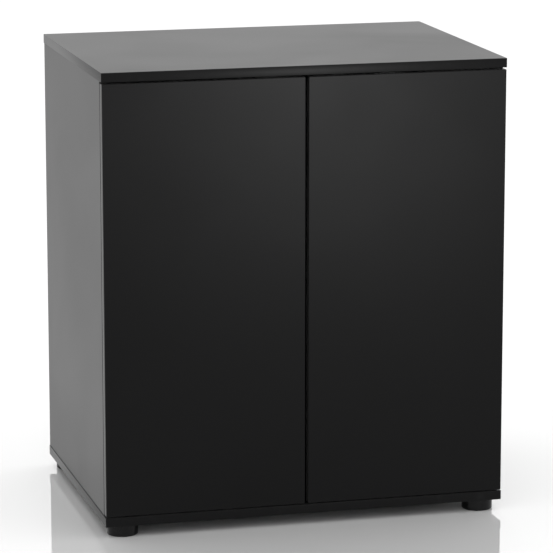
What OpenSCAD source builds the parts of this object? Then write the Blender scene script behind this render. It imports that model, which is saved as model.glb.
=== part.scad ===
// Aquarium stand cabinet with two doors. Front along -Y, up along +Z.
// The origin is on the floor, at the middle of the footprint. Millimetres.

/* [Cabinet] */
// Width of the top and bottom panels
cab_w = 710; // [600:5:900]
// Depth of the top and bottom panels
cab_d = 510; // [480:5:600]
// Height from the floor to the top face
cab_h = 803; // [700:1:900]
// Thickness of the laminated boards
board = 16; // [16:0.5:18]
// Thickness of the edge banding
band = 1; // [0.5:0.5:1.5]
// How far the top and bottom panels reach past the side panels
side_inset = 1; // [0.5:0.5:3]

/* [Doors] */
// Gap above the doors
door_gap_top = 3.4; // [2:0.1:5]
// Gap below the doors
door_gap_bottom = 2.2; // [2:0.1:5]
// Gap between the two doors
door_gap_mid = 6.3; // [3:0.1:8]
// Gap between a door's back and the side panel's front edge
door_back_gap = 3.2; // [2:0.1:4]
// Distance from a door's end to its hinge centre
hinge_inset = 100; // [80:5:140]

/* [Inside] */
// Height of the shelf's upper face
shelf_z = 418; // [350:1:500]
// Distance from the front of the cabinet to the shelf's front edge
shelf_setback = 84; // [75:1:120]
// Depth of the open recess behind the back panel
rear_recess = 68; // [50:1:90]
// Radius of the hose holes in the back panel
hose_hole_r = 30; // [25:1:35]

/* [Feet] */
// Height of a foot
foot_h = 20; // [16:1:30]
// Radius of a foot
foot_r = 27; // [22:1:30]
// Distance from the cabinet's side to a foot's centre
foot_inset_x = 35; // [30:1:80]
// Distance from the cabinet's front or rear edge to a foot's centre
foot_inset_y = 30; // [30:1:80]

/* [Push latches] */
// Distance from the middle of the cabinet to a latch
latch_x = 60; // [40:1:120]
// Height of the latch plunger's axis below the top panel
latch_drop = 12; // [11:0.5:15]
// Diameter of the plunger
plunger_d = 9.6; // [8:0.2:10]

/* [Hidden] */
$fn = 64;

// Faces of the carcass
half_w = cab_w / 2;
half_d = cab_d / 2;
side_out = half_w - side_inset;
side_in = side_out - board;
floor_z = foot_h + board;
ceil_z = cab_h - board;
door_front = -half_d;
door_back = door_front + board;
side_front = door_back + door_back_gap;
side_back = half_d - side_inset;
door_low = floor_z + door_gap_bottom;
door_high = ceil_z - door_gap_top;
hinge_z = [door_low + hinge_inset, door_high - hinge_inset];

// Back panel and shelf
shelf_gap = 2;
back_rear = side_back - rear_recess;
back_front = back_rear - board;
back_mid = (back_front + back_rear) / 2;
shelf_front = door_front + shelf_setback;
shelf_back = back_front - shelf_gap;
shelf_half_w = side_in - shelf_gap / 2;

// Hose outlets: a plastic sleeve with a rim in each hole
hose_x = side_in - 68;
hose_z = ceil_z - 36;
sleeve_wall = 4;
sleeve_rim = 4;
sleeve_rim_t = 2;
sleeve_len = board - 0.5;

// Shelf pins: an angle with a round shank, in one hole of each row of five
pin_r = 2.5;
pin_deep = 10;
pin_pitch = 32;
pin_half_w = 5;
pin_plate_t = 1.5;
pin_plate_drop = 6;
pin_tongue = 12;
pin_tongue_t = 2;
pin_z = shelf_z - board - pin_r;
pin_rows_y = [shelf_front + 32, shelf_back - 32];

// Cam fittings and dowels of the carcass joints
cam_r = 7.4;
cam_len = 12.4;
cam_reach = 34;
cam_slot = [2, 8, 1.2];
bolt_thread_r = 2.9;
bolt_thread_len = 11;
bolt_shank_r = 2.4;
bolt_head_r = 3.2;
bolt_head_len = 5;
bolt_bore_r = 3.6;
dowel_r = 4;
dowel_half = 12;
dowel_end_gap = 1;
cap_r = 8.5;
cap_t = 1.2;
cam_y = [-180, 130];
dowel_y = [-100, 50];
back_cam_z = [floor_z + 114, ceil_z - 117];
back_dowel_z = [floor_z + 264, ceil_z - 267];
joint_x = (side_in + side_out) / 2;

// Clearance round a turning pin or a pressed-in shank, and the overcut of a hole past a face
run_gap = 0.05;
hole_gap = 0.1;
over = 1;

// Feet: a disc with a chamfered rim and a pocket under the screw's seat
foot_rim = 1;
foot_web = 8;
foot_pocket_r = 6;

// Screws: head radius, head height, shank radius, length under the head
foot_screw = [4.2, 2.6, 1.95, 19];
plate_screw = [4, 1.8, 2.15, 12.1];
arm_screw = [3.6, 1.6, 2.1, 11];
cup_screw = [3.6, 1.4, 1.65, 11];
latch_screw = [3, 1.6, 1.35, 11];
strike_screw = [2.6, 1, 1.15, 9];
clearance = 0.3;

// Cup hinge: pins in plan for the left door when it is closed, from the door's outer rear edge.
// A and B are the arm's pins, C and D the cup's. The links turn while the door opens.
edge_x = -side_out;
pin_a = [edge_x + 36.2, door_back + 2.6];
pin_b = [edge_x + 19.9, door_back - 4.1];
pin_c = [edge_x + 7.7, door_back - 1.2];
pin_d = [edge_x + 6.7, door_back - 3.2];
link_bend = [edge_x + 9.7, door_back - 7.4];
link_r = 1.8;
pin_ab_r = 1.1;
pin_cd_r = 1.0;
open_pivot_gap = 0.35;

// Heights of the hinge's layers, above and below its centre
inner_link_z = 2.4;
tine_z = [2.6, 3.6];
outer_link_z = [3.8, 5.0];
cheek_z = [5.2, 6.4];

// The cup in the door, its wings, and the notch in its rim under the opened links
cup_r = 17.5;
cup_wall = 0.8;
cup_deep = 11.5;
cup_x = edge_x + 3 + cup_r;
cup_floor = door_back - cup_deep + cup_wall;
cup_post_r = link_r - 0.1;
cup_notch_x = cup_x - 15.8;
cup_notch_deep = 1.6;
cup_notch_half = 5.5;
lip_w = 1.1;
lip_t = 0.6;
lip_gap_x = cup_x + 8;
lip_gap_half = 9;
wing_t = 1.2;
wing_x = [cup_x + 3, cup_x + 15];
wing_end_r = 5.5;
cup_screw_dx = 9.5;
cup_screw_dz = 22.5;

// The plate on the side panel, and the arm that fits over its block
plate_y = side_front + 37;
plate_t = 2.6;
plate_wing = [7, 22];
plate_bar = [22, 27, 6];
plate_block = [18, 24, 5];
plate_screw_dz = 16;
arm_half = 8;
arm_wall = 1.4;
arm_front_y = side_front + 4;
arm_back_y = side_front + 66;
arm_low_x = -side_in + plate_t + 0.3;
arm_web_x = edge_x + 38.6;
arm_screw_y = plate_y + 17;
nose_bar = 1.6;
nose_back_y = arm_front_y + 3;

// Push latch and its strike plate
latch_z = ceil_z - latch_drop;
plunger_r = plunger_d / 2;
plunger_len = 46;
plunger_bore_gap = 0.4;
plunger_bore_len = 50;
housing_front = door_back + 5;
housing_len = 62;
housing_half = 10;
housing_below = 7.5;
ear_reach = 19;
ear_half = 6;
ear_t = 3;
latch_screw_y = housing_front + 30;
latch_screw_dx = 15;
strike_t = 0.8;
strike_half = [13, 6];
strike_screw_dx = 9.5;
magnet_r = 4;
magnet_len = 2;
magnet_face = door_back + strike_t + 0.1;

black = [0.10, 0.10, 0.11];
dark = [0.16, 0.16, 0.17];
steel = [0.72, 0.73, 0.75];
zinc = [0.60, 0.61, 0.63];
beech = [0.80, 0.65, 0.45];

// --- Helpers for shapes that repeat ---

// A box given by its lowest and highest corners
module span(low, high) {
    translate(low) cube(high - low);
}

// A round bar along +X, +Y or +Z from a point
module bar_x(p, r, len) { translate(p) rotate([0, 90, 0]) cylinder(r = r, h = len); }
module bar_y(p, r, len) { translate(p) rotate([-90, 0, 0]) cylinder(r = r, h = len); }
module bar_z(p, r, len) { translate(p) cylinder(r = r, h = len); }

// The outline of a link between two pins in plan
module link_outline(p, q) {
    along = q - p;
    translate(p) circle(r = link_r);
    translate(q) circle(r = link_r);
    translate(p) rotate(atan2(along[1], along[0])) translate([0, -link_r]) square([norm(along), 2 * link_r]);
}

// A plan outline raised between two heights above and below a hinge's centre
module both_sides(z) {
    for (s = [-1, 1]) translate([0, 0, s > 0 ? z[0] : -z[1]]) linear_extrude(z[1] - z[0]) children();
}

// The same shape on both sides of the cabinet
module right_of() { mirror([1, 0, 0]) children(); }

// At the height of each of a door's hinges
module each_hinge() { for (z = hinge_z) translate([0, 0, z]) children(); }

// A pan-head screw with a cross recess, its head's seat at the origin and its shank along -Z
module screw(s) {
    recess = s[0] * 0.45;
    difference() {
        union() {
            cylinder(r1 = s[0], r2 = s[0] * 0.72, h = s[1]);
            translate([0, 0, -s[3]]) cylinder(r = s[2], h = s[3] + 0.01);
        }
        for (a = [0, 90]) rotate(a)
            span([-recess, -s[0] * 0.1, s[1] * 0.35], [recess, s[0] * 0.1, s[1] + over]);
    }
}

// The hole for a screw, wider by a gap and a little longer than its shank
module screw_hole(s, gap) {
    translate([0, 0, -s[3] - hole_gap]) cylinder(r = s[2] + gap, h = s[3] + over);
}

// --- Boards ---

// The top panel's core, drilled from below for the carcass joints and the latches
module top_panel() {
    color(black) difference() {
        span([-half_w + band, -half_d + band, ceil_z], [half_w - band, half_d - band, cab_h]);
        carcass_holes(ceil_z, 1);
        for (s = [0, 1]) mirror([s, 0, 0]) at_latch_screws() screw_hole(latch_screw, run_gap);
    }
}

// The bottom panel's core, drilled from above for the carcass joints and from below for the feet
module bottom_panel() {
    color(black) difference() {
        span([-half_w + band, -half_d + band, foot_h], [half_w - band, half_d - band, floor_z]);
        carcass_holes(floor_z, -1);
        at_foot_screws() screw_hole(foot_screw, run_gap);
    }
}

// Holes in a horizontal panel for the cam bolts and dowels of both sides
module carcass_holes(z, up) {
    bolt_low = up > 0 ? z - 0.01 : z - bolt_thread_len;
    for (s = [-1, 1]) {
        for (y = cam_y) bar_z([s * joint_x, y, bolt_low], bolt_thread_r, bolt_thread_len + 0.01);
        for (y = dowel_y) bar_z([s * joint_x, y, z - dowel_half], dowel_r, 2 * dowel_half);
    }
}

// A band round all four edges of a horizontal panel
module edging_ring(z) {
    color(black) difference() {
        span([-half_w, -half_d, z], [half_w, half_d, z + board]);
        span([-half_w + band, -half_d + band, z - over], [half_w - band, half_d - band, z + board + over]);
    }
}

// The left side panel's core with every hole of its inner face and its two ends
module left_side_panel() {
    cam_low_x = -side_in - cam_len - hole_gap;
    color(black) difference() {
        span([-side_out, side_front + band, floor_z], [-side_in, side_back - band, ceil_z]);
        for (y = cam_y) {
            for (z = [ceil_z - cam_reach, floor_z + cam_reach])
                bar_x([cam_low_x, y, z], cam_r + hole_gap, cam_len + over);
            bar_z([-joint_x, y, ceil_z - cam_reach], bolt_bore_r, cam_reach + over);
            bar_z([-joint_x, y, floor_z - over], bolt_bore_r, cam_reach + over);
        }
        for (y = dowel_y, z = [ceil_z, floor_z])
            bar_z([-joint_x, y, z - dowel_half], dowel_r, 2 * dowel_half);
        for (z = back_cam_z)
            bar_x([-side_in - bolt_thread_len, back_mid, z], bolt_thread_r, bolt_thread_len + over);
        for (z = back_dowel_z) bar_x([-side_in - dowel_half, back_mid, z], dowel_r, dowel_half + over);
        for (y = pin_rows_y, i = [-2:2])
            bar_x([-side_in - pin_deep, y, pin_z + i * pin_pitch], pin_r, pin_deep + over);
        each_hinge() at_plate_screws() screw_hole(plate_screw, run_gap);
    }
}

module left_side_edging() {
    color(black) {
        span([-side_out, side_front, floor_z], [-side_in, side_front + band, ceil_z]);
        span([-side_out, side_back - band, floor_z], [-side_in, side_back, ceil_z]);
    }
}

// The back panel between the sides, with both hose holes and the cams' holes in its rear face
module back_panel() {
    cam_low_y = back_rear - cam_len - hole_gap;
    color(dark) difference() {
        span([-side_in, back_front, floor_z], [side_in, back_rear, ceil_z]);
        for (s = [0, 1]) mirror([s, 0, 0]) {
            bar_y([-hose_x, back_front - over, hose_z], hose_hole_r, board + 2 * over);
            for (z = back_cam_z) {
                bar_y([-side_in + cam_reach, cam_low_y, z], cam_r + hole_gap, cam_len + over);
                bar_x([-side_in - over, back_mid, z], bolt_bore_r, cam_reach + over);
            }
            for (z = back_dowel_z) bar_x([-side_in - dowel_half, back_mid, z], dowel_r, 2 * dowel_half);
        }
    }
}

// A plastic sleeve with a rim on the rear face, pushed into a hose hole
module left_hose_grommet() {
    color(dark) translate([-hose_x, back_rear, hose_z]) rotate([90, 0, 0]) difference() {
        union() {
            translate([0, 0, -sleeve_rim_t]) cylinder(r = hose_hole_r + sleeve_rim, h = sleeve_rim_t);
            translate([0, 0, -0.01]) cylinder(r = hose_hole_r - run_gap, h = sleeve_len + 0.01);
        }
        translate([0, 0, -sleeve_rim_t - over])
            cylinder(r = hose_hole_r - sleeve_wall, h = sleeve_len + sleeve_rim_t + 2 * over);
    }
}

module shelf() {
    color(black)
        span([-shelf_half_w, shelf_front + band, shelf_z - board], [shelf_half_w, shelf_back, shelf_z]);
}

module shelf_edging() {
    color(black)
        span([-shelf_half_w, shelf_front, shelf_z - board], [shelf_half_w, shelf_front + band, shelf_z]);
}

// Angled pins: a round shank in the side panel, a plate against it and a tongue under the shelf
module shelf_pins() {
    seat_z = shelf_z - board;
    face_x = -side_in + hole_gap;
    color(zinc) for (s = [0, 1], y = pin_rows_y) mirror([s, 0, 0]) {
        bar_x([-side_in - pin_deep + 0.5, y, pin_z], pin_r - run_gap, pin_deep);
        span([face_x, y - pin_half_w, pin_z - pin_plate_drop],
            [face_x + pin_plate_t, y + pin_half_w, seat_z]);
        span([face_x, y - pin_half_w, seat_z - pin_tongue_t],
            [-side_in + pin_tongue, y + pin_half_w, seat_z]);
    }
}

// --- Joints of the carcass ---

// One bolt along +Z: its thread is above the origin and its head hangs in the cam below
module cam_bolt() {
    neck_low = -cam_reach + bolt_head_len - 2;
    cylinder(r = bolt_thread_r, h = bolt_thread_len);
    translate([0, 0, neck_low]) cylinder(r = bolt_shank_r, h = -neck_low + 0.01);
    translate([0, 0, -cam_reach - 1]) cylinder(r = bolt_head_r, h = bolt_head_len);
}

// One cam along +X, its face at the origin, with the pocket that grips a bolt's head from +Z
module cam_lock() {
    difference() {
        translate([-cam_len, 0, 0]) rotate([0, 90, 0]) cylinder(r = cam_r, h = cam_len);
        translate([-board / 2, 0, -2.5]) cylinder(r = bolt_head_r + clearance, h = cam_r + 2.5 + over);
        for (a = [0, 90]) rotate([a, 0, 0])
            translate([-cam_slot[0], -cam_slot[1] / 2, -cam_slot[2] / 2]) cube(cam_slot + [over, 0, 0]);
    }
}

// Each joint between a side and the top or bottom, seen from the left side's inner face
module each_side_joint(ys) {
    for (s = [0, 1], t = [0, 1], y = ys) mirror([s, 0, 0])
        translate([0, y, t > 0 ? ceil_z : floor_z]) mirror([0, 0, 1 - t]) children();
}

// Each joint between the back panel and a side, with the bolt's thread in the side
module each_back_joint(zs) {
    for (s = [0, 1], z = zs) mirror([s, 0, 0]) translate([-side_in, back_mid, z]) children();
}

module cam_bolts() {
    color(steel) {
        each_side_joint(cam_y) translate([-joint_x, 0, 0]) cam_bolt();
        each_back_joint(back_cam_z) rotate([0, -90, 0]) cam_bolt();
    }
}

module cam_locks() {
    color(zinc) {
        each_side_joint(cam_y) translate([-side_in, 0, -cam_reach]) cam_lock();
        each_back_joint(back_cam_z) translate([cam_reach, board / 2, 0])
            rotate([0, 0, 90]) rotate([-90, 0, 0]) cam_lock();
    }
}

module cam_caps() {
    color(dark) {
        each_side_joint(cam_y) bar_x([-side_in, 0, -cam_reach], cap_r, cap_t);
        each_back_joint(back_cam_z) bar_y([cam_reach, board / 2, 0], cap_r, cap_t);
    }
}

module wood_dowels() {
    low = -dowel_half + dowel_end_gap;
    color(beech) {
        each_side_joint(dowel_y) bar_z([-joint_x, 0, low], dowel_r - run_gap, -2 * low);
        each_back_joint(back_dowel_z) bar_x([low, 0, 0], dowel_r - run_gap, -2 * low);
    }
}

// --- Feet ---

// At the centre of the foot on one side and at one end, on the floor
module at_foot(sx, sy) {
    translate([sx * (half_w - foot_inset_x), sy * (half_d - foot_inset_y), 0]) children();
}

// At the screw of each foot, with +Z down
module at_foot_screws() {
    for (sx = [-1, 1], sy = [-1, 1]) at_foot(sx, sy)
        translate([0, 0, foot_h - foot_web]) rotate([180, 0, 0]) children();
}

// A moulded disc with a chamfered lower rim and a pocket for its screw
module foot(sx, sy) {
    hole_r = foot_screw[2] + clearance;
    color(dark) at_foot(sx, sy) rotate_extrude() polygon([
        [foot_pocket_r, 0], [foot_r - foot_rim, 0], [foot_r, foot_rim], [foot_r, foot_h],
        [hole_r, foot_h], [hole_r, foot_h - foot_web], [foot_pocket_r, foot_h - foot_web]
    ]);
}

module foot_screws() {
    color(steel) at_foot_screws() screw(foot_screw);
}

// --- Doors ---

// The left door's core, bored from behind for its cups and the strike plate's screws
module left_door() {
    inner_x = -door_gap_mid / 2 - band;
    color(black) difference() {
        span([-side_out + band, door_front, door_low + band], [inner_x, door_back, door_high - band]);
        each_hinge() {
            bar_y([cup_x, door_back - cup_deep - hole_gap, 0], cup_r + hole_gap, cup_deep + over);
            at_cup_screws() screw_hole(cup_screw, run_gap);
        }
        at_strike_screws() screw_hole(strike_screw, run_gap);
    }
}

module left_door_edging() {
    inner_x = -door_gap_mid / 2;
    color(black) difference() {
        span([-side_out, door_front, door_low], [inner_x, door_back, door_high]);
        span([-side_out + band, door_front - over, door_low + band],
            [inner_x - band, door_back + over, door_high - band]);
    }
}

// --- Cup hinges of the left door, two of each piece ---

// At the two screws of a hinge's plate, with +Z out of the side panel
module at_plate_screws() {
    for (s = [-1, 1]) translate([-side_in + plate_t, plate_y, s * plate_screw_dz])
        rotate([0, 90, 0]) children();
}

// At the screw that holds a hinge's arm to its plate
module at_arm_screw() {
    translate([arm_web_x, arm_screw_y, 0]) rotate([0, 90, 0]) children();
}

// At the two screws of a hinge's cup, with +Z out of the door's back
module at_cup_screws() {
    for (s = [-1, 1]) translate([cup_x + cup_screw_dx, door_back + wing_t, s * cup_screw_dz])
        rotate([-90, 0, 0]) children();
}

// A cross-shaped plate on the side panel's inner face, with a block that the arm fits over
module left_hinge_plates() {
    x = -side_in;
    top = x + plate_t;
    color(steel) each_hinge() difference() {
        union() {
            span([x, plate_y - plate_wing[0], -plate_wing[1]], [top, plate_y + plate_wing[0], plate_wing[1]]);
            span([x, plate_y - plate_bar[0], -plate_bar[2]], [top, plate_y + plate_bar[1], plate_bar[2]]);
            span([top - 0.01, plate_y - plate_block[0], -plate_block[2]],
                [arm_web_x - arm_wall, plate_y + plate_block[1], plate_block[2]]);
        }
        at_plate_screws() screw_hole(plate_screw, clearance);
        at_arm_screw() screw_hole(arm_screw, run_gap);
    }
}

module left_plate_screws() {
    color(steel) each_hinge() {
        at_plate_screws() screw(plate_screw);
        at_arm_screw() screw(arm_screw);
    }
}

// A channel over the plate's block, which narrows to a forked nose that holds both links
module left_hinge_arms() {
    along = pin_b - pin_a;
    nose_web_x = arm_web_x - 0.3;
    color(zinc) each_hinge() difference() {
        union() {
            for (z = [-arm_half, arm_half - arm_wall])
                span([arm_low_x, arm_front_y, z], [arm_web_x, arm_back_y, z + arm_wall]);
            span([arm_web_x - arm_wall, arm_front_y, -arm_half], [arm_web_x, arm_back_y, arm_half]);
            translate([0, 0, -tine_z[1]]) linear_extrude(2 * tine_z[1]) {
                translate(pin_a) circle(r = link_r);
                translate(pin_b) circle(r = link_r);
                translate(pin_a) rotate(atan2(along[1], along[0]))
                    translate([0, -nose_bar]) square([norm(along), 2 * nose_bar]);
                polygon([
                    pin_b, pin_b + [-1.2, 9], [arm_low_x, nose_back_y],
                    [nose_web_x, nose_back_y], [nose_web_x, pin_a[1] + 2], pin_a
                ]);
            }
        }
        span([-side_in - over, pin_b[1] - 4, -tine_z[0]], [pin_b[0] + 2.6, arm_front_y - 1, tine_z[0]]);
        for (p = [pin_a, pin_b]) bar_z([p[0], p[1], -arm_half - over], pin_ab_r, 2 * (arm_half + over));
        at_arm_screw() screw_hole(arm_screw, clearance);
    }
}

module left_arm_pins() {
    head = 0.4;
    color(steel) each_hinge() {
        bar_z([pin_a[0], pin_a[1], -outer_link_z[1] - head], pin_ab_r, 2 * (outer_link_z[1] + head));
        bar_z([pin_b[0], pin_b[1], -tine_z[1]], pin_ab_r, 2 * tine_z[1]);
    }
}

// Two flat plates from the arm to the cup, outside the fork
module left_outer_links() {
    color(steel) each_hinge() both_sides(outer_link_z) difference() {
        link_outline(pin_a, pin_c);
        translate(pin_a) circle(r = pin_ab_r + run_gap);
        translate(pin_c) circle(r = pin_cd_r + run_gap);
    }
}

// One cranked lever inside the fork. Its cup eye is the pivot that has clearance
module left_inner_links() {
    color(steel) each_hinge() translate([0, 0, -inner_link_z]) linear_extrude(2 * inner_link_z) difference() {
        union() {
            link_outline(pin_b, link_bend);
            link_outline(link_bend, pin_d);
        }
        translate(pin_b) circle(r = pin_ab_r + run_gap);
        translate(pin_d) circle(r = pin_cd_r + open_pivot_gap);
    }
}

// A pressed cup let into the door, with ribs and cheeks that hold the two cup pins
module left_hinge_cups() {
    color(steel) each_hinge() difference() {
        union() {
            bar_y([cup_x, door_back - cup_deep, 0], cup_r, cup_deep);
            bar_y([cup_x, door_back, 0], cup_r + lip_w, lip_t);
            cup_wings();
        }
        difference() {
            bar_y([cup_x, cup_floor, 0], cup_r - cup_wall, cup_deep + over);
            both_sides(tine_z) cup_post(pin_d);
            both_sides(cheek_z) cup_post(pin_c);
        }
        span([lip_gap_x, door_back + 0.01, -lip_gap_half], [cup_x + cup_r + 3, door_back + 3, lip_gap_half]);
        span([cup_x - cup_r - 3, door_back - cup_notch_deep, -cup_notch_half],
            [cup_notch_x, door_back + 3, cup_notch_half]);
        bar_z([pin_d[0], pin_d[1], -tine_z[1] - hole_gap], pin_cd_r, 2 * (tine_z[1] + hole_gap));
        bar_z([pin_c[0], pin_c[1], -cheek_z[1]], pin_cd_r, 2 * cheek_z[1]);
        at_cup_screws() screw_hole(cup_screw, clearance);
    }
}

// The cup's flat wings with rounded ends, one above and one below
module cup_wings() {
    intersection() {
        span([wing_x[0], door_back, -cup_screw_dz - wing_end_r],
            [wing_x[1] + 1, door_back + wing_t, cup_screw_dz + wing_end_r]);
        union() {
            for (s = [-1, 1]) bar_y([cup_x + cup_screw_dx, door_back, s * cup_screw_dz], wing_end_r, wing_t);
            span([wing_x[0], door_back, -cup_screw_dz], [wing_x[1], door_back + wing_t, cup_screw_dz]);
        }
    }
}

// A post from the cup's floor up to a pin, in plan
module cup_post(pin) {
    foot_y = cup_floor - 0.5;
    translate(pin) circle(r = cup_post_r);
    translate([pin[0] - cup_post_r, foot_y]) square([2 * cup_post_r, pin[1] - foot_y]);
}

module left_cup_pins() {
    color(steel) each_hinge() {
        bar_z([pin_d[0], pin_d[1], -tine_z[1]], pin_cd_r, 2 * tine_z[1]);
        for (s = [0, 1]) mirror([0, 0, s])
            bar_z([pin_c[0], pin_c[1], outer_link_z[0]], pin_cd_r, cheek_z[1] - outer_link_z[0]);
    }
}

module left_cup_screws() {
    color(steel) each_hinge() at_cup_screws() screw(cup_screw);
}

// --- Push latches under the top panel, one behind each door ---

// At the two screws of the left latch, with +Z down
module at_latch_screws() {
    for (s = [-1, 1]) translate([-latch_x + s * latch_screw_dx, latch_screw_y, ceil_z - ear_t])
        rotate([180, 0, 0]) children();
}

// At the two screws of the left strike plate, with +Z out of the door's back
module at_strike_screws() {
    for (s = [-1, 1]) translate([-latch_x + s * strike_screw_dx, door_back + strike_t, latch_z])
        rotate([-90, 0, 0]) children();
}

module left_latch_housing() {
    color(dark) difference() {
        union() {
            span([-latch_x - housing_half, housing_front, latch_z - housing_below],
                [-latch_x + housing_half, housing_front + housing_len, ceil_z]);
            span([-latch_x - ear_reach, latch_screw_y - ear_half, ceil_z - ear_t],
                [-latch_x + ear_reach, latch_screw_y + ear_half, ceil_z]);
        }
        bar_y([-latch_x, housing_front - over, latch_z],
            plunger_r + plunger_bore_gap, plunger_bore_len + over);
        at_latch_screws() screw_hole(latch_screw, clearance);
    }
}

module left_latch_plunger() {
    color(dark) bar_y([-latch_x, magnet_face + magnet_len, latch_z], plunger_r, plunger_len);
}

module left_plunger_magnet() {
    color(steel) bar_y([-latch_x, magnet_face, latch_z], magnet_r, magnet_len);
}

module latch_screws() {
    color(steel) for (s = [0, 1]) mirror([s, 0, 0]) at_latch_screws() screw(latch_screw);
}

module left_strike_plate() {
    color(steel) difference() {
        span([-latch_x - strike_half[0], door_back, latch_z - strike_half[1]],
            [-latch_x + strike_half[0], door_back + strike_t, latch_z + strike_half[1]]);
        at_strike_screws() screw_hole(strike_screw, clearance / 2);
    }
}

module left_strike_screws() {
    color(steel) at_strike_screws() screw(strike_screw);
}

top_panel();
edging_ring(ceil_z);  // top_panel_edging
bottom_panel();
edging_ring(foot_h);  // bottom_panel_edging
left_side_panel();
left_side_edging();
right_of() left_side_panel();  // right_side_panel
right_of() left_side_edging();  // right_side_edging
back_panel();
left_hose_grommet();
right_of() left_hose_grommet();  // right_hose_grommet
shelf();
shelf_edging();
shelf_pins();
cam_bolts();
cam_locks();
cam_caps();
wood_dowels();
foot(-1, -1);  // front_left_foot
foot(1, -1);  // front_right_foot
foot(-1, 1);  // rear_left_foot
foot(1, 1);  // rear_right_foot
foot_screws();
left_door();
left_door_edging();
right_of() left_door();  // right_door
right_of() left_door_edging();  // right_door_edging
left_hinge_plates();
left_plate_screws();
left_hinge_arms();
left_arm_pins();
left_outer_links();
left_inner_links();
left_hinge_cups();
left_cup_pins();
left_cup_screws();
right_of() left_hinge_plates();  // right_hinge_plates
right_of() left_plate_screws();  // right_plate_screws
right_of() left_hinge_arms();  // right_hinge_arms
right_of() left_arm_pins();  // right_arm_pins
right_of() left_outer_links();  // right_outer_links
right_of() left_inner_links();  // right_inner_links
right_of() left_hinge_cups();  // right_hinge_cups
right_of() left_cup_pins();  // right_cup_pins
right_of() left_cup_screws();  // right_cup_screws
left_latch_housing();
left_latch_plunger();
left_plunger_magnet();
right_of() left_latch_housing();  // right_latch_housing
right_of() left_latch_plunger();  // right_latch_plunger
right_of() left_plunger_magnet();  // right_plunger_magnet
latch_screws();
left_strike_plate();
left_strike_screws();
right_of() left_strike_plate();  // right_strike_plate
right_of() left_strike_screws();  // right_strike_screws
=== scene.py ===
import math

import bmesh
import bpy
from mathutils import Euler, Matrix, Vector


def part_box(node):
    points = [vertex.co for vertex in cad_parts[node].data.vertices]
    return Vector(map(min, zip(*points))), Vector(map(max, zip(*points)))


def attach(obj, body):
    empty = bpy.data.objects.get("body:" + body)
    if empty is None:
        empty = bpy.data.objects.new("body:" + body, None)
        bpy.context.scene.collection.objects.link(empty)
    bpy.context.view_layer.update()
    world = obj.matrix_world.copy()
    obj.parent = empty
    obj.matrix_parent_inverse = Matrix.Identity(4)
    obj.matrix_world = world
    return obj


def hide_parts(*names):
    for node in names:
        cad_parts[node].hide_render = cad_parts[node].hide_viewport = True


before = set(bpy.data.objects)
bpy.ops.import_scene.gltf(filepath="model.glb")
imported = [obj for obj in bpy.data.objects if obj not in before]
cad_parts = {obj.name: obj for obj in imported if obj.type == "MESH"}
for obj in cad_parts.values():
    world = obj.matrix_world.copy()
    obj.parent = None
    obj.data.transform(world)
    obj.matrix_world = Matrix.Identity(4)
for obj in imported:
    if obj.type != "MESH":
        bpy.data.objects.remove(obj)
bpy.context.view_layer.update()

MM = 0.001


# ---------------------------------------------------------------------------
# Camera, room and floor
# The cabinet stands on a pale polished floor in a white room. The camera looks from the front
# left, a little above the top, through a long lens. A wide lamp hangs overhead, and a low one puts a
# soft glow on the doors.
# ---------------------------------------------------------------------------

CAMERA_PLACE = (-1.4427, -5.5286, 1.5837)
CAMERA_YAW = math.radians(14.754)
CAMERA_PITCH = math.radians(11.819)
CAMERA_LENS = 212.8
ROOM_GLOW = 1.08
FLOOR_HALF = 40.0
FLOOR_SHINE = 0.46
OVERHEAD_PLACE = (0.0, 0.4, 4.0)
DOOR_GLOW_PLACE = (0.80, -3.25, 0.30)
DOOR_GLOW_AIM = (0.30, -0.25, 1.25)

camera = bpy.data.objects.new("studio_camera", bpy.data.cameras.new("studio_camera"))
bpy.context.scene.collection.objects.link(camera)
bpy.context.scene.camera = camera
camera.data.sensor_width = 36.0
camera.data.lens = CAMERA_LENS
camera.data.clip_start = 0.1
camera.data.clip_end = 200.0
camera.location = CAMERA_PLACE
camera.rotation_euler = (math.pi / 2 - CAMERA_PITCH, 0.0, -CAMERA_YAW)
bpy.context.scene.view_settings.view_transform = "Standard"

room = bpy.data.worlds.new("white_room")
bpy.context.scene.world = room
room.use_nodes = True
room.node_tree.nodes["Background"].inputs["Color"].default_value = (1.0, 1.0, 1.0, 1.0)
room.node_tree.nodes["Background"].inputs["Strength"].default_value = ROOM_GLOW


def soft_lamp(name, place, aim, size, power, spread):
    """A round soft lamp at a place, turned towards a spot, whose light stays within the spread."""
    lamp = bpy.data.lights.new(name, "AREA")
    lamp.shape = "DISK"
    lamp.size = size
    lamp.energy = power
    lamp.spread = math.radians(spread)
    holder = bpy.data.objects.new(name, lamp)
    bpy.context.scene.collection.objects.link(holder)
    holder.location = place
    holder.rotation_euler = (Vector(aim) - Vector(place)).to_track_quat("-Z", "Y").to_euler()
    holder.visible_camera = False


soft_lamp("overhead_lamp", OVERHEAD_PLACE, (0.0, 0.0, 0.0), size=5.0, power=20.0, spread=180.0)
soft_lamp("door_glow_lamp", DOOR_GLOW_PLACE, DOOR_GLOW_AIM, size=0.58, power=1.2, spread=44.0)


def add(tree, kind, sockets=None, **settings):
    """A node with its settings, and what each of its named sockets holds or is fed by."""
    made = tree.nodes.new(kind)
    for key, value in settings.items():
        setattr(made, key, value)
    for key, value in (sockets or {}).items():
        if isinstance(value, bpy.types.NodeSocket):
            tree.links.new(value, made.inputs[key])
        else:
            made.inputs[key].default_value = value
    return made


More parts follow.
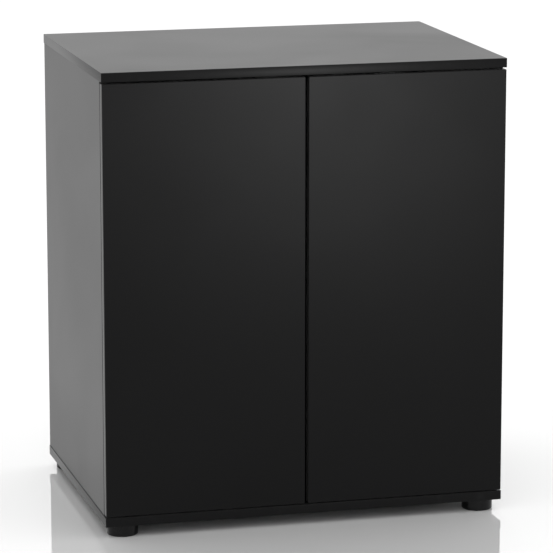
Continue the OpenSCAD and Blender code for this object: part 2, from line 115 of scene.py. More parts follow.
def floor_material():
    """Pale polished stone: a clear mirror image over a soft white body, with faint cloudiness."""
    made = bpy.data.materials.new("polished_pale_floor")
    made.use_nodes = True
    tree = made.node_tree
    tree.nodes.clear()
    place = add(tree, "ShaderNodeTexCoord").outputs["Object"]
    cloud = add(tree, "ShaderNodeTexNoise", {"Vector": place, "Scale": 1.3, "Detail": 4.0})
    shade = add(tree, "ShaderNodeMixRGB", {"Fac": cloud.outputs["Fac"], "Color1": (0.93, 0.93, 0.93, 1),
                                           "Color2": (0.96, 0.96, 0.96, 1)})
    body = add(tree, "ShaderNodeBsdfDiffuse", {"Color": shade.outputs["Color"]})
    mirror = add(tree, "ShaderNodeBsdfGlossy", {"Color": (1, 1, 1, 1), "Roughness": 0.008})
    both = add(tree, "ShaderNodeMixShader", {0: FLOOR_SHINE, 1: body.outputs[0], 2: mirror.outputs[0]})
    add(tree, "ShaderNodeOutputMaterial", {"Surface": both.outputs[0]})
    return made


floor_mesh = bpy.data.meshes.new("studio_floor")
floor_corners = ((-1, -1), (1, -1), (1, 1), (-1, 1))
floor_points = [(x * FLOOR_HALF, y * FLOOR_HALF, 0.0) for x, y in floor_corners]
floor_mesh.from_pydata(floor_points, [], [(0, 1, 2, 3)])
studio_floor = bpy.data.objects.new("studio_floor", floor_mesh)
bpy.context.scene.collection.objects.link(studio_floor)
floor_mesh.materials.append(floor_material())


# ---------------------------------------------------------------------------
# Boards: top, bottom, sides, back, shelf and the cores of the two doors
# 16 mm chipboard, pressed with a black satin melamine film on both faces. Where a board is
# drilled the film ends, and the brown chips show on the wall of the hole.
# ---------------------------------------------------------------------------

FILM_DEEP = 0.3 * MM
FILM_IOR = 1.22
FILM_HAZE = 0.06
FILM_HAZE_ROUGH = 0.4
BOARD_AXIS = {"top_panel": "Z", "bottom_panel": "Z", "shelf": "Z", "left_side_panel": "X",
              "right_side_panel": "X", "back_panel": "Y", "left_door": "Y", "right_door": "Y"}


def coat(obj, material):
    """Gives an object one material and no other."""
    obj.data.materials.clear()
    obj.data.materials.append(material)


def plain_material(name):
    """A new material, its node tree, its main shader and its place on the object."""
    made = bpy.data.materials.new(name)
    made.use_nodes = True
    tree = made.node_tree
    return made, tree, tree.nodes["Principled BSDF"], add(tree, "ShaderNodeTexCoord").outputs["Object"]


def blend(tree, amount, low, high):
    """A colour between two others."""
    return add(tree, "ShaderNodeMixRGB", {"Fac": amount, "Color1": low, "Color2": high}).outputs["Color"]


def remap(tree, value, from_low, from_high, to_low, to_high):
    """A value moved from one range to another, and kept inside it."""
    return add(tree, "ShaderNodeMapRange", {"Value": value, "From Min": from_low, "From Max": from_high,
                                            "To Min": to_low, "To Max": to_high}).outputs["Result"]


def noise(tree, place, scale, **more):
    """A noise pattern over the object."""
    return add(tree, "ShaderNodeTexNoise", {"Vector": place, "Scale": scale, **more})


def bumped(tree, height, strength, distance):
    """A normal that follows a pattern of heights."""
    bump = add(tree, "ShaderNodeBump", {"Height": height, "Strength": strength, "Distance": distance})
    return bump.outputs["Normal"]


def film_gloss(shader):
    """The shine of melamine: faint head on, bright at a low angle, with a little haze."""
    shader.inputs["IOR"].default_value = FILM_IOR
    shader.inputs["Sheen Weight"].default_value = FILM_HAZE
    shader.inputs["Sheen Roughness"].default_value = FILM_HAZE_ROUGH


def satin_film(tree, place):
    """Colour, roughness and normal of black melamine: cloudy depth, fine grain, a little dust."""
    cloud = noise(tree, place, 7.0, Detail=4.0, Roughness=0.55)
    grain = noise(tree, place, 900.0, Detail=3.0, Roughness=0.6)
    pores = add(tree, "ShaderNodeTexVoronoi", {"Vector": place, "Scale": 520.0, "Randomness": 1.0})
    smear = noise(tree, place, 3.2, Detail=2.0, Distortion=0.6)
    depth = blend(tree, cloud.outputs["Fac"], (0.0010, 0.0010, 0.0011, 1), (0.0018, 0.0018, 0.0020, 1))
    dust = remap(tree, grain.outputs["Fac"], 0.68, 0.82, 0.0, 0.2)
    colour = blend(tree, dust, depth, (0.030, 0.030, 0.031, 1))
    rough = remap(tree, smear.outputs["Fac"], 0.3, 0.7, 0.30, 0.34)
    both = {0: grain.outputs["Fac"], 1: pores.outputs["Distance"]}
    height = add(tree, "ShaderNodeMath", both, operation="ADD").outputs[0]
    return colour, rough, bumped(tree, height, 0.08, 0.0001)


def cut_chips(tree, place):
    """Colour of cut chipboard: pale flakes in dark glue."""
    flakes = add(tree, "ShaderNodeTexVoronoi", {"Vector": place, "Scale": 700.0})
    return blend(tree, flakes.outputs["Distance"], (0.42, 0.27, 0.15, 1), (0.20, 0.12, 0.06, 1))


def board_material(node, axis):
    """Melamine film on a board's two faces, and chipboard between them."""
    made, tree, shader, place = plain_material(node + "_melamine")
    low, high = (corner["XYZ".index(axis)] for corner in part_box(node))
    across = add(tree, "ShaderNodeSeparateXYZ", {"Vector": place}).outputs[axis]
    off = add(tree, "ShaderNodeMath", {0: across, 1: (low + high) / 2}, operation="SUBTRACT")
    far = add(tree, "ShaderNodeMath", {0: off.outputs[0]}, operation="ABSOLUTE")
    film = add(tree, "ShaderNodeMath", {0: far.outputs[0], 1: (high - low) / 2 - FILM_DEEP},
               operation="GREATER_THAN").outputs[0]
    colour, rough, normal = satin_film(tree, place)
    tree.links.new(blend(tree, film, cut_chips(tree, place), colour), shader.inputs["Base Color"])
    dull = add(tree, "ShaderNodeMix", {"Factor": film, "A": 0.85, "B": rough}, data_type="FLOAT")
    tree.links.new(dull.outputs["Result"], shader.inputs["Roughness"])
    tree.links.new(normal, shader.inputs["Normal"])
    film_gloss(shader)
    return made


for node, axis in BOARD_AXIS.items():
    coat(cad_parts[node], board_material(node, axis))


# ---------------------------------------------------------------------------
# Edge bands
# 1 mm strips of black ABS, glued to the boards' cut edges, trimmed flush and scraped to a soft
# arris. They run right round the top, bottom and doors, and up the front and rear of the sides.
# ---------------------------------------------------------------------------

BAND_THICK = 1.0 * MM
ARRIS = 0.3 * MM
ARC_STEPS = 4
MERGE_WITHIN = 1e-6
CREASE_OVER = math.radians(35.0)


def band_material():
    """ABS like the film beside it, a shade rubbed where the scraper passed."""
    made, tree, shader, place = plain_material("black_edge_band")
    colour, rough, normal = satin_film(tree, place)
    scuff = noise(tree, place, 60.0, Detail=6.0, Roughness=0.7)
    worn = remap(tree, scuff.outputs["Fac"], 0.56, 0.74, 0.0, 0.25)
    tree.links.new(blend(tree, worn, colour, (0.020, 0.020, 0.021, 1)), shader.inputs["Base Color"])
    tree.links.new(rough, shader.inputs["Roughness"])
    tree.links.new(normal, shader.inputs["Normal"])
    film_gloss(shader)
    return made


edge_band = band_material()


def fitted(name, built):
    """Closes a bmesh into a new object: doubles merged, faces outwards, smooth but for its creases."""
    bmesh.ops.remove_doubles(built, verts=built.verts, dist=MERGE_WITHIN)
    bmesh.ops.dissolve_degenerate(built, dist=1e-7, edges=built.edges)
    bmesh.ops.recalc_face_normals(built, faces=built.faces)
    mesh = bpy.data.meshes.new(name)
    built.to_mesh(mesh)
    built.free()
    mesh.shade_smooth()
    mesh.set_sharp_from_angle(angle=CREASE_OVER)
    made = bpy.data.objects.new(name, mesh)
    bpy.context.scene.collection.objects.link(made)
    return made


def sweep(built, rings, closed):
    """Skins rings of points into a bmesh, closed round or capped at its two ends."""
    rows = [[built.verts.new(point) for point in ring] for ring in rings]
    count = len(rows[0])
    for index in range(len(rows) if closed else len(rows) - 1):
        here, there = rows[index], rows[(index + 1) % len(rows)]
        for k in range(count):
            built.faces.new((here[k], here[(k + 1) % count], there[(k + 1) % count], there[k]))
    if not closed:
        built.faces.new(rows[0])
        built.faces.new(list(reversed(rows[-1])))


def arc(centre, radius, start, end, steps=ARC_STEPS):
    """Points along an arc, its angles in degrees."""
    turns = [math.radians(start + (end - start) * step / steps) for step in range(steps + 1)]
    return [(centre[0] + radius * math.cos(turn), centre[1] + radius * math.sin(turn)) for turn in turns]


def band_section(wide):
    """A band in section: how far out from the board's edge, and how far along its thickness."""
    inner = BAND_THICK - ARRIS
    return [(0.0, 0.0), *arc((inner, ARRIS), ARRIS, -90, 0),
            *arc((inner, wide - ARRIS), ARRIS, 0, 90), (0.0, wide)]


def adopt(made, node, body, material):
    """Puts a new piece in the place of its CAD node, on the node's body."""
    coat(made, material)
    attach(made, body)
    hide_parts(node)


def ring_band(node, body, up):
    """A band right round a board whose thickness runs along the axis up."""
    low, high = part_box(node)
    u, v = [axis for axis in range(3) if axis != up]
    low_u, low_v = low[u] + BAND_THICK, low[v] + BAND_THICK
    high_u, high_v = high[u] - BAND_THICK, high[v] - BAND_THICK
    corners = [(low_u, low_v, 180), (high_u, low_v, 270), (high_u, high_v, 0), (low_u, high_v, 90)]
    rings = []
    for corner_u, corner_v, start in corners:
        for step in range(ARC_STEPS + 1):
            turn = math.radians(start + 90 * step / ARC_STEPS)
            ring = []
            for out, along in band_section(high[up] - low[up]):
                point = Vector((0, 0, 0))
                point[u] = corner_u + out * math.cos(turn)
                point[v] = corner_v + out * math.sin(turn)
                point[up] = low[up] + along
                ring.append(point)
            rings.append(ring)
    built = bmesh.new()
    sweep(built, rings, True)
    adopt(fitted(node + "_rounded", built), node, body, edge_band)


def straight_bands(node, along):
    """The front band of an upright or a shelf, and its rear one if it has one."""
    low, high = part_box(node)
    across = 0 if along == 2 else 2
    edges = [(low[1], -1)] + ([(high[1], 1)] if high[1] - low[1] > 2 * BAND_THICK else [])
    built = bmesh.new()
    for edge, way in edges:
        rings = []
        for end in (low[along], high[along]):
            ring = []
            for out, over in band_section(high[across] - low[across]):
                point = Vector((0, 0, 0))
                point[1] = edge - way * (BAND_THICK - out)
                point[across] = low[across] + over
                point[along] = end
                ring.append(point)
            rings.append(ring)
        sweep(built, rings, False)
    adopt(fitted(node + "_rounded", built), node, "carcass", edge_band)


ring_band("top_panel_edging", "carcass", 2)
ring_band("bottom_panel_edging", "carcass", 2)
ring_band("left_door_edging", "left_door", 1)
ring_band("right_door_edging", "right_door", 1)
straight_bands("left_side_edging", 2)
straight_bands("right_side_edging", 2)
straight_bands("shelf_edging", 0)


# ---------------------------------------------------------------------------
# Feet
# Four round feet of black polypropylene, moulded with a soft upper rim, a chamfered lower rim
# and a pocket underneath. One screw through each pocket holds it to the bottom panel.
# ---------------------------------------------------------------------------

FOOT_SOFT = 0.6 * MM
FOOT_CHAMFER = 1.0 * MM
FOOT_POCKET = 6.0 * MM
FOOT_WEB = 8.0 * MM
FOOT_HOLE = 2.25 * MM
TURN_STEPS = 96


def moulded(name, colour, rough, ior):
    """Moulded plastic: an even colour with faint flow marks, a fine skin and a few rubbed spots."""
    made, tree, shader, place = plain_material(name)
    flow = noise(tree, place, 45.0, Detail=3.0, Distortion=1.2)
    skin = noise(tree, place, 2600.0, Detail=2.0)
    rubbed = add(tree, "ShaderNodeTexVoronoi", {"Vector": place, "Scale": 160.0})
    pale = tuple(min(1.0, part * 1.5 + 0.004) for part in colour) + (1.0,)
    body = blend(tree, remap(tree, flow.outputs["Fac"], 0.35, 0.75, 0.0, 0.5), tuple(colour) + (1.0,), pale)
    tree.links.new(body, shader.inputs["Base Color"])
    wear = remap(tree, rubbed.outputs["Distance"], 0.0, 0.9, rough - 0.04, rough + 0.05)
    tree.links.new(wear, shader.inputs["Roughness"])
    tree.links.new(bumped(tree, skin.outputs["Fac"], 0.12, 0.00005), shader.inputs["Normal"])
    shader.inputs["IOR"].default_value = ior
    return made


def round_body(node, axis):
    """A round node's place on its axis at its low end, its radius and its length."""
    low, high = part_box(node)
    centre = [(low[k] + high[k]) / 2 for k in range(3)]
    centre[axis] = low[axis]
    return centre, (high[0] - low[0]) / 2, high[axis] - low[axis]


def turned(name, outline, place, way="Z", steps=TURN_STEPS):
    """A closed solid of revolution: outline runs (radius, distance along the axis) round the section."""
    lean = {"X": Euler((0, math.pi / 2, 0)), "Y": Euler((-math.pi / 2, 0, 0)), "Z": Euler((0, 0, 0))}[way]
    built = bmesh.new()
    rings = []
    for step in range(steps):
        turn = 2 * math.pi * step / steps
        rings.append([(r * math.cos(turn), r * math.sin(turn), h) for r, h in outline])
    sweep(built, rings, True)
    put = Matrix.Translation(place) @ lean.to_matrix().to_4x4()
    bmesh.ops.transform(built, matrix=put, verts=built.verts)
    return fitted(name, built)


foot_plastic = moulded("black_polypropylene", (0.003, 0.003, 0.0032), 0.20, 1.24)
for node in ("front_left_foot", "front_right_foot", "rear_left_foot", "rear_right_foot"):
    centre, radius, tall = round_body(node, 2)
    web = tall - FOOT_WEB
    outline = [
        *arc((FOOT_POCKET + FOOT_SOFT / 2, FOOT_SOFT / 2), FOOT_SOFT / 2, 180, 270),
        *arc((radius - FOOT_CHAMFER - FOOT_SOFT, FOOT_SOFT), FOOT_SOFT, -90, -45),
        *arc((radius - FOOT_SOFT, FOOT_CHAMFER + FOOT_SOFT), FOOT_SOFT, -45, 0),
        *arc((radius - FOOT_SOFT, tall - FOOT_SOFT), FOOT_SOFT, 0, 90),
        (FOOT_HOLE, tall), (FOOT_HOLE, web), (FOOT_POCKET, web),
    ]
    adopt(turned(node + "_moulded", outline, centre), node, "carcass", foot_plastic)


# ---------------------------------------------------------------------------
# Hose grommets
# Two sleeves of matt black plastic, pushed into the back panel's hose holes from behind. Each has
# a rounded rim outside, a soft lip inside and a shallow groove in its bore.
# ---------------------------------------------------------------------------

SLEEVE_RIM = 2.0 * MM
SLEEVE_OUT = 4.05 * MM
SLEEVE_WALL = 3.95 * MM
SLEEVE_SOFT = 0.9 * MM
SLEEVE_GROOVE = 0.6 * MM

black_plastic = moulded("black_moulded_plastic", (0.014, 0.014, 0.015), 0.46, 1.45)
for side in ("left_", "right_"):
    node = side + "hose_grommet"
    centre, rim_r, long = round_body(node, 1)
    sleeve_r = rim_r - SLEEVE_OUT
    bore_r = sleeve_r - SLEEVE_WALL
    back = long - SLEEVE_RIM
    outline = [
        *arc((bore_r + SLEEVE_SOFT, SLEEVE_SOFT), SLEEVE_SOFT, 180, 270),
        *arc((sleeve_r - SLEEVE_SOFT, SLEEVE_SOFT), SLEEVE_SOFT, -90, 0),
        (sleeve_r, back), (rim_r - 0.3 * MM, back),
        *arc((rim_r - SLEEVE_SOFT, long - SLEEVE_SOFT), SLEEVE_SOFT, 0, 90),
        *arc((bore_r + SLEEVE_SOFT, long - SLEEVE_SOFT), SLEEVE_SOFT, 90, 180),
        (bore_r, long * 0.62), (bore_r + SLEEVE_GROOVE, long * 0.58), (bore_r + SLEEVE_GROOVE, long * 0.42),
        (bore_r, long * 0.38),
    ]
    made = turned(node + "_moulded", outline, centre, "Y")
    adopt(made, node, "carcass", black_plastic)


# ---------------------------------------------------------------------------
# Screws
# Zinc-plated pan-head wood screws with a cross recess and a rolled thread. They hold the feet,
# hinge plates, arms, cups, latches and strike plates. Each is turned by its own chance amount.
# ---------------------------------------------------------------------------

THREAD_PITCH = 1.4 * MM
THREAD_SIDES = 20
RING_STEP = 0.28 * MM
CHANCE = 7


def plated(name, dark, light, rough, scratch):
    """Plated metal: clouded plating, hairline scratches along Z and a grain that breaks the shine."""
    made, tree, shader, place = plain_material(name)
    cloud = noise(tree, place, 120.0, Detail=5.0, Roughness=0.6)
    thin = add(tree, "ShaderNodeMapping", {"Vector": place, "Scale": (2200.0, 2200.0, 90.0)})
    hair = noise(tree, thin.outputs["Vector"], 1.0, Detail=2.0)
    tree.links.new(blend(tree, cloud.outputs["Fac"], dark, light), shader.inputs["Base Color"])
    shine = remap(tree, hair.outputs["Fac"], 0.3, 0.7, rough - scratch, rough + scratch)
    tree.links.new(shine, shader.inputs["Roughness"])
    tree.links.new(bumped(tree, hair.outputs["Fac"], 0.1, 0.00004), shader.inputs["Normal"])
    shader.inputs["Metallic"].default_value = 1.0
    return made


def level_ring(radius, height):
    """A level ring of points about the Z axis."""
    return [(radius * math.cos(2 * math.pi * side / THREAD_SIDES),
             radius * math.sin(2 * math.pi * side / THREAD_SIDES), height) for side in range(THREAD_SIDES)]


def thread_rings(core, crest, top, bottom, point):
    """Rings of a threaded shank down from top to bottom, tapered over its last stretch."""
    rings = []
    rows = max(2, round((top - bottom) / RING_STEP))
    for row in range(rows + 1):
        height = top + (bottom - top) * row / rows
        taper = min(1.0, max(0.12, (height - bottom) / point)) if point else 1.0
        ring = []
        for side in range(THREAD_SIDES):
            turn = 2 * math.pi * side / THREAD_SIDES
            phase = (height / THREAD_PITCH + turn / (2 * math.pi)) % 1.0
            tooth = max(0.0, 1.0 - abs(phase - 0.5) * 4.0)
            radius = (core + (crest - core) * tooth) * taper
            ring.append((radius * math.cos(turn), radius * math.sin(turn), height))
        rings.append(ring)
    return rings


def screw_pattern(name, head_r, head_h, shank_r, length):
    """One screw with its head's top at the origin and its point at the lowest end."""
    built = bmesh.new()
    head = ((head_r * 0.30, 0.0), (head_r * 0.62, -head_h * 0.10), (head_r * 0.84, -head_h * 0.42),
            (head_r * 0.95, -head_h * 0.80), (head_r * 0.96, -head_h), (shank_r, -head_h))
    rings = [level_ring(radius, height) for radius, height in head]
    neck = -head_h - 0.4 * MM
    rings += thread_rings(shank_r * 0.74, shank_r, neck, -head_h - length + 0.02 * MM, 2.2 * MM)
    sweep(built, rings, False)
    screw = fitted(name, built)
    cross = bmesh.new()
    for turn in (0.0, math.pi / 2):
        spoke = bmesh.ops.create_cube(cross, size=1.0)["verts"]
        bmesh.ops.transform(cross, verts=spoke, matrix=Matrix.Rotation(turn, 4, "Z") @ Matrix.Translation(
            (0, 0, -head_h * 0.05)) @ Matrix.Diagonal((head_r * 0.95, head_r * 0.24, head_h * 1.2, 1.0)))
    for vert in cross.verts:
        if vert.co.z < -head_h * 0.2:
            vert.co.x *= 0.55
            vert.co.y *= 0.55
    bmesh.ops.recalc_face_normals(cross, faces=cross.faces)
    cutter_mesh = bpy.data.meshes.new(name + "_recess")
    cross.to_mesh(cutter_mesh)
    cross.free()
    cutter = bpy.data.objects.new(name + "_recess", cutter_mesh)
    bpy.context.scene.collection.objects.link(cutter)
    carve = screw.modifiers.new("recess", "BOOLEAN")
    carve.object, carve.solver, carve.use_self = cutter, "EXACT", True
    flat = baked(screw, name)
    bpy.data.objects.remove(cutter)
    return flat


def baked(obj, name):
    """The object with its modifiers worked into a new mesh; the first object is removed."""
    graph = bpy.context.evaluated_depsgraph_get()
    shown = obj.evaluated_get(graph)
    mesh = bpy.data.meshes.new_from_object(shown, preserve_all_data_layers=True, depsgraph=graph)
    bpy.data.objects.remove(obj)
    built = bmesh.new()
    built.from_mesh(mesh)
    bpy.data.meshes.remove(mesh)
    return fitted(name, built)


def strew_tree():
    """Puts a pattern on every point: leaned and sized as the point says, then spun by chance."""
    tree = bpy.data.node_groups.new("strew_pattern", "GeometryNodeTree")
    tree.interface.new_socket(name="Geometry", in_out="OUTPUT", socket_type="NodeSocketGeometry")
    for label, kind in (("Points", "Geometry"), ("Pattern", "Object"), ("Material", "Material"),
                        ("Seed", "Int"), ("Most Spin", "Float")):
        tree.interface.new_socket(name=label, in_out="INPUT", socket_type="NodeSocket" + kind)
    given = add(tree, "NodeGroupInput").outputs
    pattern = add(tree, "GeometryNodeObjectInfo", {"Object": given["Pattern"]}, transform_space="ORIGINAL")
    lean = add(tree, "GeometryNodeInputNamedAttribute", {"Name": "lean"}, data_type="FLOAT_VECTOR")
    size = add(tree, "GeometryNodeInputNamedAttribute", {"Name": "size"}, data_type="FLOAT_VECTOR")
    tilt = add(tree, "FunctionNodeEulerToRotation", {"Euler": lean.outputs["Attribute"]})
    wanted = {"Points": given["Points"], "Instance": pattern.outputs["Geometry"],
              "Rotation": tilt.outputs["Rotation"], "Scale": size.outputs["Attribute"]}
    put = add(tree, "GeometryNodeInstanceOnPoints", wanted)
    chance = add(tree, "FunctionNodeRandomValue", {"Max": given["Most Spin"], "Seed": given["Seed"]},
                 data_type="FLOAT")
    spin = add(tree, "ShaderNodeCombineXYZ", {"Z": chance.outputs["Value"]})
    spun = add(tree, "GeometryNodeRotateInstances", {"Instances": put.outputs["Instances"],
                                                     "Rotation": spin.outputs["Vector"]})
    real = add(tree, "GeometryNodeRealizeInstances", {"Geometry": spun.outputs["Instances"]})
    done = add(tree, "GeometryNodeSetMaterial", {"Geometry": real.outputs["Geometry"],
                                                 "Material": given["Material"]})
    add(tree, "NodeGroupOutput", {"Geometry": done.outputs["Geometry"]})
    return tree


strewing = strew_tree()


def strew(name, pattern, places, material, spin=2 * math.pi):
    """One mesh of the pattern at each place: (point, way its +Z faces, size along its own axes)."""
    points = bpy.data.meshes.new(name)
    points.from_pydata([place for place, _, _ in places], [], [])
    leans = [Vector(way).to_track_quat("Z", "Y").to_euler() for _, way, _ in places]
    for label, values in (("lean", leans), ("size", [size for _, _, size in places])):
        stored = points.attributes.new(label, "FLOAT_VECTOR", "POINT")
        stored.data.foreach_set("vector", [part for value in values for part in value])
    holder = bpy.data.objects.new(name, points)
    bpy.context.scene.collection.objects.link(holder)
    strewn = holder.modifiers.new("strew", "NODES")
    strewn.node_group = strewing
    wanted = {"Pattern": pattern, "Material": material, "Seed": CHANCE, "Most Spin": spin}
    for item in strewing.interface.items_tree:
        if item.in_out == "INPUT" and item.name in wanted:
            strewn[item.identifier] = wanted[item.name]
    return baked(holder, name)


def solids(node):
    """The lowest and highest corner of every separate solid in a CAD node."""
    whole = bmesh.new()
    whole.from_mesh(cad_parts[node].data)
    bmesh.ops.remove_doubles(whole, verts=whole.verts, dist=MERGE_WITHIN)
    left, boxes = set(whole.verts), []
    while left:
        reached = [left.pop()]
        for vert in reached:
            for edge in vert.link_edges:
                other = edge.other_vert(vert)
                if other in left:
                    left.remove(other)
                    reached.append(other)
        boxes.append((Vector([min(vert.co[k] for vert in reached) for k in range(3)]),
                      Vector([max(vert.co[k] for vert in reached) for k in range(3)])))
    whole.free()
    return boxes


def end_of(box, way):
    """The middle of a solid's end face on the side that a way points to."""
    low, high = box
    picks = [high[k] if way[k] > 0 else low[k] if way[k] < 0 else (low[k] + high[k]) / 2 for k in range(3)]
    return Vector(picks)


def screws(node, body, way, head_r, head_h, shank_r, length):
    """A node's screws, each as wide and long as its CAD solid, with its head on the side of way."""
    axis = [abs(part) for part in way].index(1)
    side = (axis + 1) % 3
    places = []
    for low, high in solids(node):
        wide = (high[side] - low[side]) / (2 * head_r)
        long = (high[axis] - low[axis]) / (head_h + length)
        places.append((end_of((low, high), way), way, (wide, wide, long)))
    pattern = screw_pattern(node + "_pattern", head_r, head_h, shank_r, length)
    made = strew(node + "_threaded", pattern, places, zinc_plate)
    bpy.data.objects.remove(pattern)
    adopt(made, node, body, zinc_plate)


zinc_plate = plated("zinc_plate", (0.50, 0.51, 0.53, 1), (0.72, 0.72, 0.70, 1), 0.34, 0.08)
screws("foot_screws", "carcass", (0, 0, -1), 4.2 * MM, 2.6 * MM, 1.95 * MM, 19.0 * MM)
screws("latch_screws", "carcass", (0, 0, -1), 3.0 * MM, 1.6 * MM, 1.35 * MM, 11.0 * MM)
for side, inward in (("left_", 1), ("right_", -1)):
    screws(side + "plate_screws", "carcass", (inward, 0, 0), 4.0 * MM, 1.8 * MM, 2.15 * MM, 12.1 * MM)
    screws(side + "cup_screws", side + "door", (0, 1, 0), 3.6 * MM, 1.4 * MM, 1.65 * MM, 11.0 * MM)
    screws(side + "strike_screws", side + "door", (0, 1, 0), 2.6 * MM, 1.0 * MM, 1.15 * MM, 9.0 * MM)


# ---------------------------------------------------------------------------
# Dowels and cam bolts
# Fluted beech dowels line the boards up. Beside them a zinc-plated bolt screws into one board,
# and its round head hangs in the cam of the other.
# ---------------------------------------------------------------------------

FLUTES = 20
FLUTE_DEEP = 0.22 * MM
DOWEL_R = 3.95 * MM
DOWEL_LONG = 22.0 * MM
DOWEL_CHAMFER = 1.2 * MM


def beech_material():
    """Bare beech: pale pink-brown, fine rings and the short dark flecks of its rays."""
    made, tree, shader, place = plain_material("beech")
    long = add(tree, "ShaderNodeMapping", {"Vector": place, "Scale": (60.0, 60.0, 12.0)})
    wave = {"Vector": long.outputs["Vector"], "Scale": 3.0, "Distortion": 4.0, "Detail": 3.0}
    grain = add(tree, "ShaderNodeTexWave", wave)
    flecks = noise(tree, place, 1400.0, Detail=2.0)
    body = blend(tree, grain.outputs["Fac"], (0.62, 0.43, 0.26, 1), (0.72, 0.54, 0.36, 1))
    spots = remap(tree, flecks.outputs["Fac"], 0.62, 0.72, 0.0, 0.7)
    tree.links.new(blend(tree, spots, body, (0.36, 0.22, 0.12, 1)), shader.inputs["Base Color"])
    tree.links.new(bumped(tree, grain.outputs["Fac"], 0.2, 0.0001), shader.inputs["Normal"])
    shader.inputs["Roughness"].default_value = 0.7
    return made


def dowel_pattern():
    """One dowel along Z about the origin, fluted but for its chamfered ends."""
    half = DOWEL_LONG / 2
    rings = []
    tip_r = DOWEL_R - DOWEL_CHAMFER
    shape = ((-half, tip_r, 0.0), (-half + DOWEL_CHAMFER, DOWEL_R, 0.0),
             (-half + 1.6 * DOWEL_CHAMFER, DOWEL_R, FLUTE_DEEP),
             (half - 1.6 * DOWEL_CHAMFER, DOWEL_R, FLUTE_DEEP),
             (half - DOWEL_CHAMFER, DOWEL_R, 0.0), (half, tip_r, 0.0))
    for height, radius, deep in shape:
        ring = []
        for side in range(FLUTES * 4):
            turn = 2 * math.pi * side / (FLUTES * 4)
            r = radius - deep * (0.5 - 0.5 * math.cos(FLUTES * turn))
            ring.append((r * math.cos(turn), r * math.sin(turn), height))
        rings.append(ring)
    built = bmesh.new()
    sweep(built, rings, False)
    return fitted("dowel_pattern", built)


def longest_axis(low, high):
    """The axis that a solid is longest along."""
    spans = [high[k] - low[k] for k in range(3)]
    return spans.index(max(spans))


def unit_way(axis, sign=1):
    """A unit vector along an axis, or against it."""
    way = Vector((0, 0, 0))
    way[axis] = sign
    return way


dowel = dowel_pattern()
places = []
for low, high in solids("wood_dowels"):
    places.append(((low + high) / 2, unit_way(longest_axis(low, high)), (1, 1, 1)))
beech = beech_material()
made = strew("wood_dowels_fluted", dowel, places, beech)
bpy.data.objects.remove(dowel)
adopt(made, "wood_dowels", "carcass", beech)

BOLT_LONG = 46.0 * MM
BOLT_THREAD = 11.0 * MM
BOLT_HEAD = 5.0 * MM
HALF_WAY_UP = 0.4


def bolt_pattern():
    """One bolt with its thread's end at the origin and its head lowest: thread, collar, shank, head."""
    rings = [level_ring(1.2 * MM, 0.0), level_ring(2.0 * MM, -0.5 * MM)]
    rings += thread_rings(2.1 * MM, 2.9 * MM, -0.6 * MM, -BOLT_THREAD + 0.9 * MM, 0)
    low = -BOLT_LONG
    collar = ((2.85 * MM, -BOLT_THREAD + 0.8 * MM), (2.85 * MM, -BOLT_THREAD))
    shank = ((2.35 * MM, -BOLT_THREAD - 0.4 * MM), (2.35 * MM, low + BOLT_HEAD + 1.6 * MM))
    neck = ((1.7 * MM, low + BOLT_HEAD + 1.2 * MM), (1.7 * MM, low + BOLT_HEAD - 1.4 * MM))
    head = ((3.1 * MM, low + BOLT_HEAD - 1.9 * MM), (3.15 * MM, low + 1.2 * MM), (2.2 * MM, low))
    rings += [level_ring(radius, height) for radius, height in (*collar, *shank, *neck, *head)]
    built = bmesh.new()
    sweep(built, rings, False)
    return fitted("bolt_pattern", built)


def thread_way(low, high, axis):
    """The thread of an upright bolt is at its end nearer a panel, and of a level one at the side."""
    middle = (low[axis] + high[axis]) / 2
    return 1 if middle > (HALF_WAY_UP if axis == 2 else 0.0) else -1


bolt = bolt_pattern()
places = []
for box in solids("cam_bolts"):
    axis = longest_axis(*box)
    way = unit_way(axis, thread_way(*box, axis))
    places.append((end_of(box, way), way, (1, 1, 1)))
made = strew("cam_bolts_threaded", bolt, places, zinc_plate)
bpy.data.objects.remove(bolt)
adopt(made, "cam_bolts", "carcass", zinc_plate)


# ---------------------------------------------------------------------------
# Cam locks and their caps
# Die-cast cams, let into the boards and turned with a cross driver until they grip a bolt's
# head. A thin domed cap of black plastic covers each one.
# ---------------------------------------------------------------------------

CAP_SOFT = 0.5 * MM
CAP_DOME = 0.25 * MM
FLAT_WITHIN = math.radians(0.8)
SHARP_OVER = math.radians(32)


def softened(node, body, material, width):
    """A CAD node's own shape with its sharp edges broken by a small round."""
    built = bmesh.new()
    built.from_mesh(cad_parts[node].data)
    bmesh.ops.remove_doubles(built, verts=built.verts, dist=MERGE_WITHIN)
    bmesh.ops.dissolve_limit(built, angle_limit=FLAT_WITHIN, verts=built.verts, edges=built.edges)
    sharp = [edge for edge in built.edges if edge.is_manifold and edge.calc_face_angle(0.0) > SHARP_OVER]
    bmesh.ops.bevel(built, geom=sharp, offset=width, segments=2, profile=0.5, affect="EDGES",
                    clamp_overlap=True)
    adopt(fitted(node + "_softened", built), node, body, material)


nickel_cast = plated("nickel_plated_casting", (0.42, 0.41, 0.39, 1), (0.58, 0.57, 0.54, 1), 0.36, 0.06)
softened("cam_locks", "carcass", nickel_cast, 0.15 * MM)

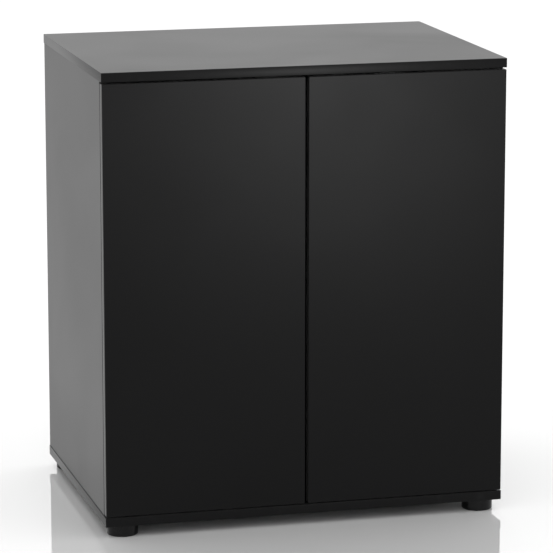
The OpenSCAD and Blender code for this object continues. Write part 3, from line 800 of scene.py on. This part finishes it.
cap_boxes = solids("cam_caps")
cap_r = max(high[k] - low[k] for low, high in cap_boxes for k in range(3)) / 2
cap_t = min(high[k] - low[k] for low, high in cap_boxes for k in range(3))
cap_outline = [
    (0.0, 0.0), (cap_r - 0.1 * MM, 0.0),
    *arc((cap_r - CAP_SOFT, cap_t - CAP_DOME - CAP_SOFT), CAP_SOFT, 0, 70),
    (cap_r * 0.72, cap_t - CAP_DOME * 0.35), (cap_r * 0.4, cap_t - 0.05 * MM), (0.0, cap_t),
]
cap = turned("cap_pattern", cap_outline, (0, 0, 0), steps=48)
places = []
for low, high in cap_boxes:
    spans = [high[k] - low[k] for k in range(3)]
    axis = spans.index(min(spans))
    way = unit_way(axis, 1 if axis == 1 or low[axis] < 0 else -1)
    places.append((end_of((low, high), -way), way, (1, 1, 1)))
made = strew("cam_caps_domed", cap, places, black_plastic)
bpy.data.objects.remove(cap)
adopt(made, "cam_caps", "carcass", black_plastic)


# ---------------------------------------------------------------------------
# Shelf pins
# Four nickel-plated pins. The shank sits in one hole of a row of five in the side panel, and the
# shelf rests on the tongue.
# ---------------------------------------------------------------------------

softened("shelf_pins", "carcass", nickel_cast, 0.3 * MM)


# ---------------------------------------------------------------------------
# Cup hinges, two on each door
# A die-cast plate and a cast arm on the side panel, two outer links and a cranked inner one, and a
# pressed cup let into the door's back. Steel pins join them, and the door swings clear of the side.
# ---------------------------------------------------------------------------

nickel_steel = plated("nickel_plated_steel", (0.52, 0.51, 0.49, 1), (0.70, 0.69, 0.66, 1), 0.24, 0.05)
bright_steel = plated("bright_pin_steel", (0.48, 0.48, 0.49, 1), (0.64, 0.64, 0.65, 1), 0.20, 0.04)
for side in ("left_", "right_"):
    door = side + "door"
    softened(side + "hinge_plates", "carcass", nickel_cast, 0.35 * MM)
    softened(side + "hinge_arms", "carcass", nickel_cast, 0.18 * MM)
    softened(side + "arm_pins", "carcass", bright_steel, 0.12 * MM)
    softened(side + "outer_links", side + "outer_links", nickel_steel, 0.12 * MM)
    softened(side + "inner_links", side + "inner_links", nickel_steel, 0.15 * MM)
    softened(side + "hinge_cups", door, nickel_steel, 0.12 * MM)
    softened(side + "cup_pins", door, bright_steel, 0.10 * MM)


# ---------------------------------------------------------------------------
# Push latches and strike plates
# A grey housing under the top holds a pale plunger with a magnet in its nose. The magnet meets a
# steel plate on the door's back, and follows the door a little way when it is pressed and let go.
# ---------------------------------------------------------------------------

PLUNGER_GROOVE = 0.35 * MM
PLUNGER_GROOVES = 3
PLUNGER_FACE_R = 4.3 * MM
MAGNET_SOFT = 0.3 * MM

housing_plastic = moulded("dark_grey_abs", (0.075, 0.076, 0.080), 0.42, 1.46)
plunger_plastic = moulded("light_grey_acetal", (0.36, 0.37, 0.38), 0.32, 1.48)
magnet_plate = plated("magnet_plate", (0.20, 0.20, 0.21, 1), (0.34, 0.34, 0.35, 1), 0.30, 0.06)
for side in ("left_", "right_"):
    softened(side + "latch_housing", "carcass", housing_plastic, 0.5 * MM)
    softened(side + "strike_plate", side + "door", nickel_steel, 0.2 * MM)

    node, body = side + "latch_plunger", side + "latch_plunger"
    centre, radius, long = round_body(node, 1)
    outline = [(0.0, 0.0), (PLUNGER_FACE_R, 0.0), *arc((radius - 0.4 * MM, 0.5 * MM), 0.4 * MM, -60, 0)]
    for k in range(PLUNGER_GROOVES):
        start = (3.0 + 2.0 * k) * MM
        outline += [(radius, start), (radius - PLUNGER_GROOVE, start + 0.2 * MM),
                    (radius - PLUNGER_GROOVE, start + 0.8 * MM), (radius, start + 1.0 * MM)]
    outline += [*arc((radius - 0.8 * MM, long - 0.8 * MM), 0.8 * MM, 0, 90), (0.0, long)]
    made = turned(node + "_ribbed", outline, centre, "Y")
    adopt(made, node, body, plunger_plastic)

    node = side + "plunger_magnet"
    centre, radius, long = round_body(node, 1)
    outline = [(0.0, 0.0), *arc((radius - MAGNET_SOFT, MAGNET_SOFT), MAGNET_SOFT, -90, 0),
               (radius, long), (0.0, long)]
    made = turned(node + "_chamfered", outline, centre, "Y", steps=64)
    adopt(made, node, body, magnet_plate)
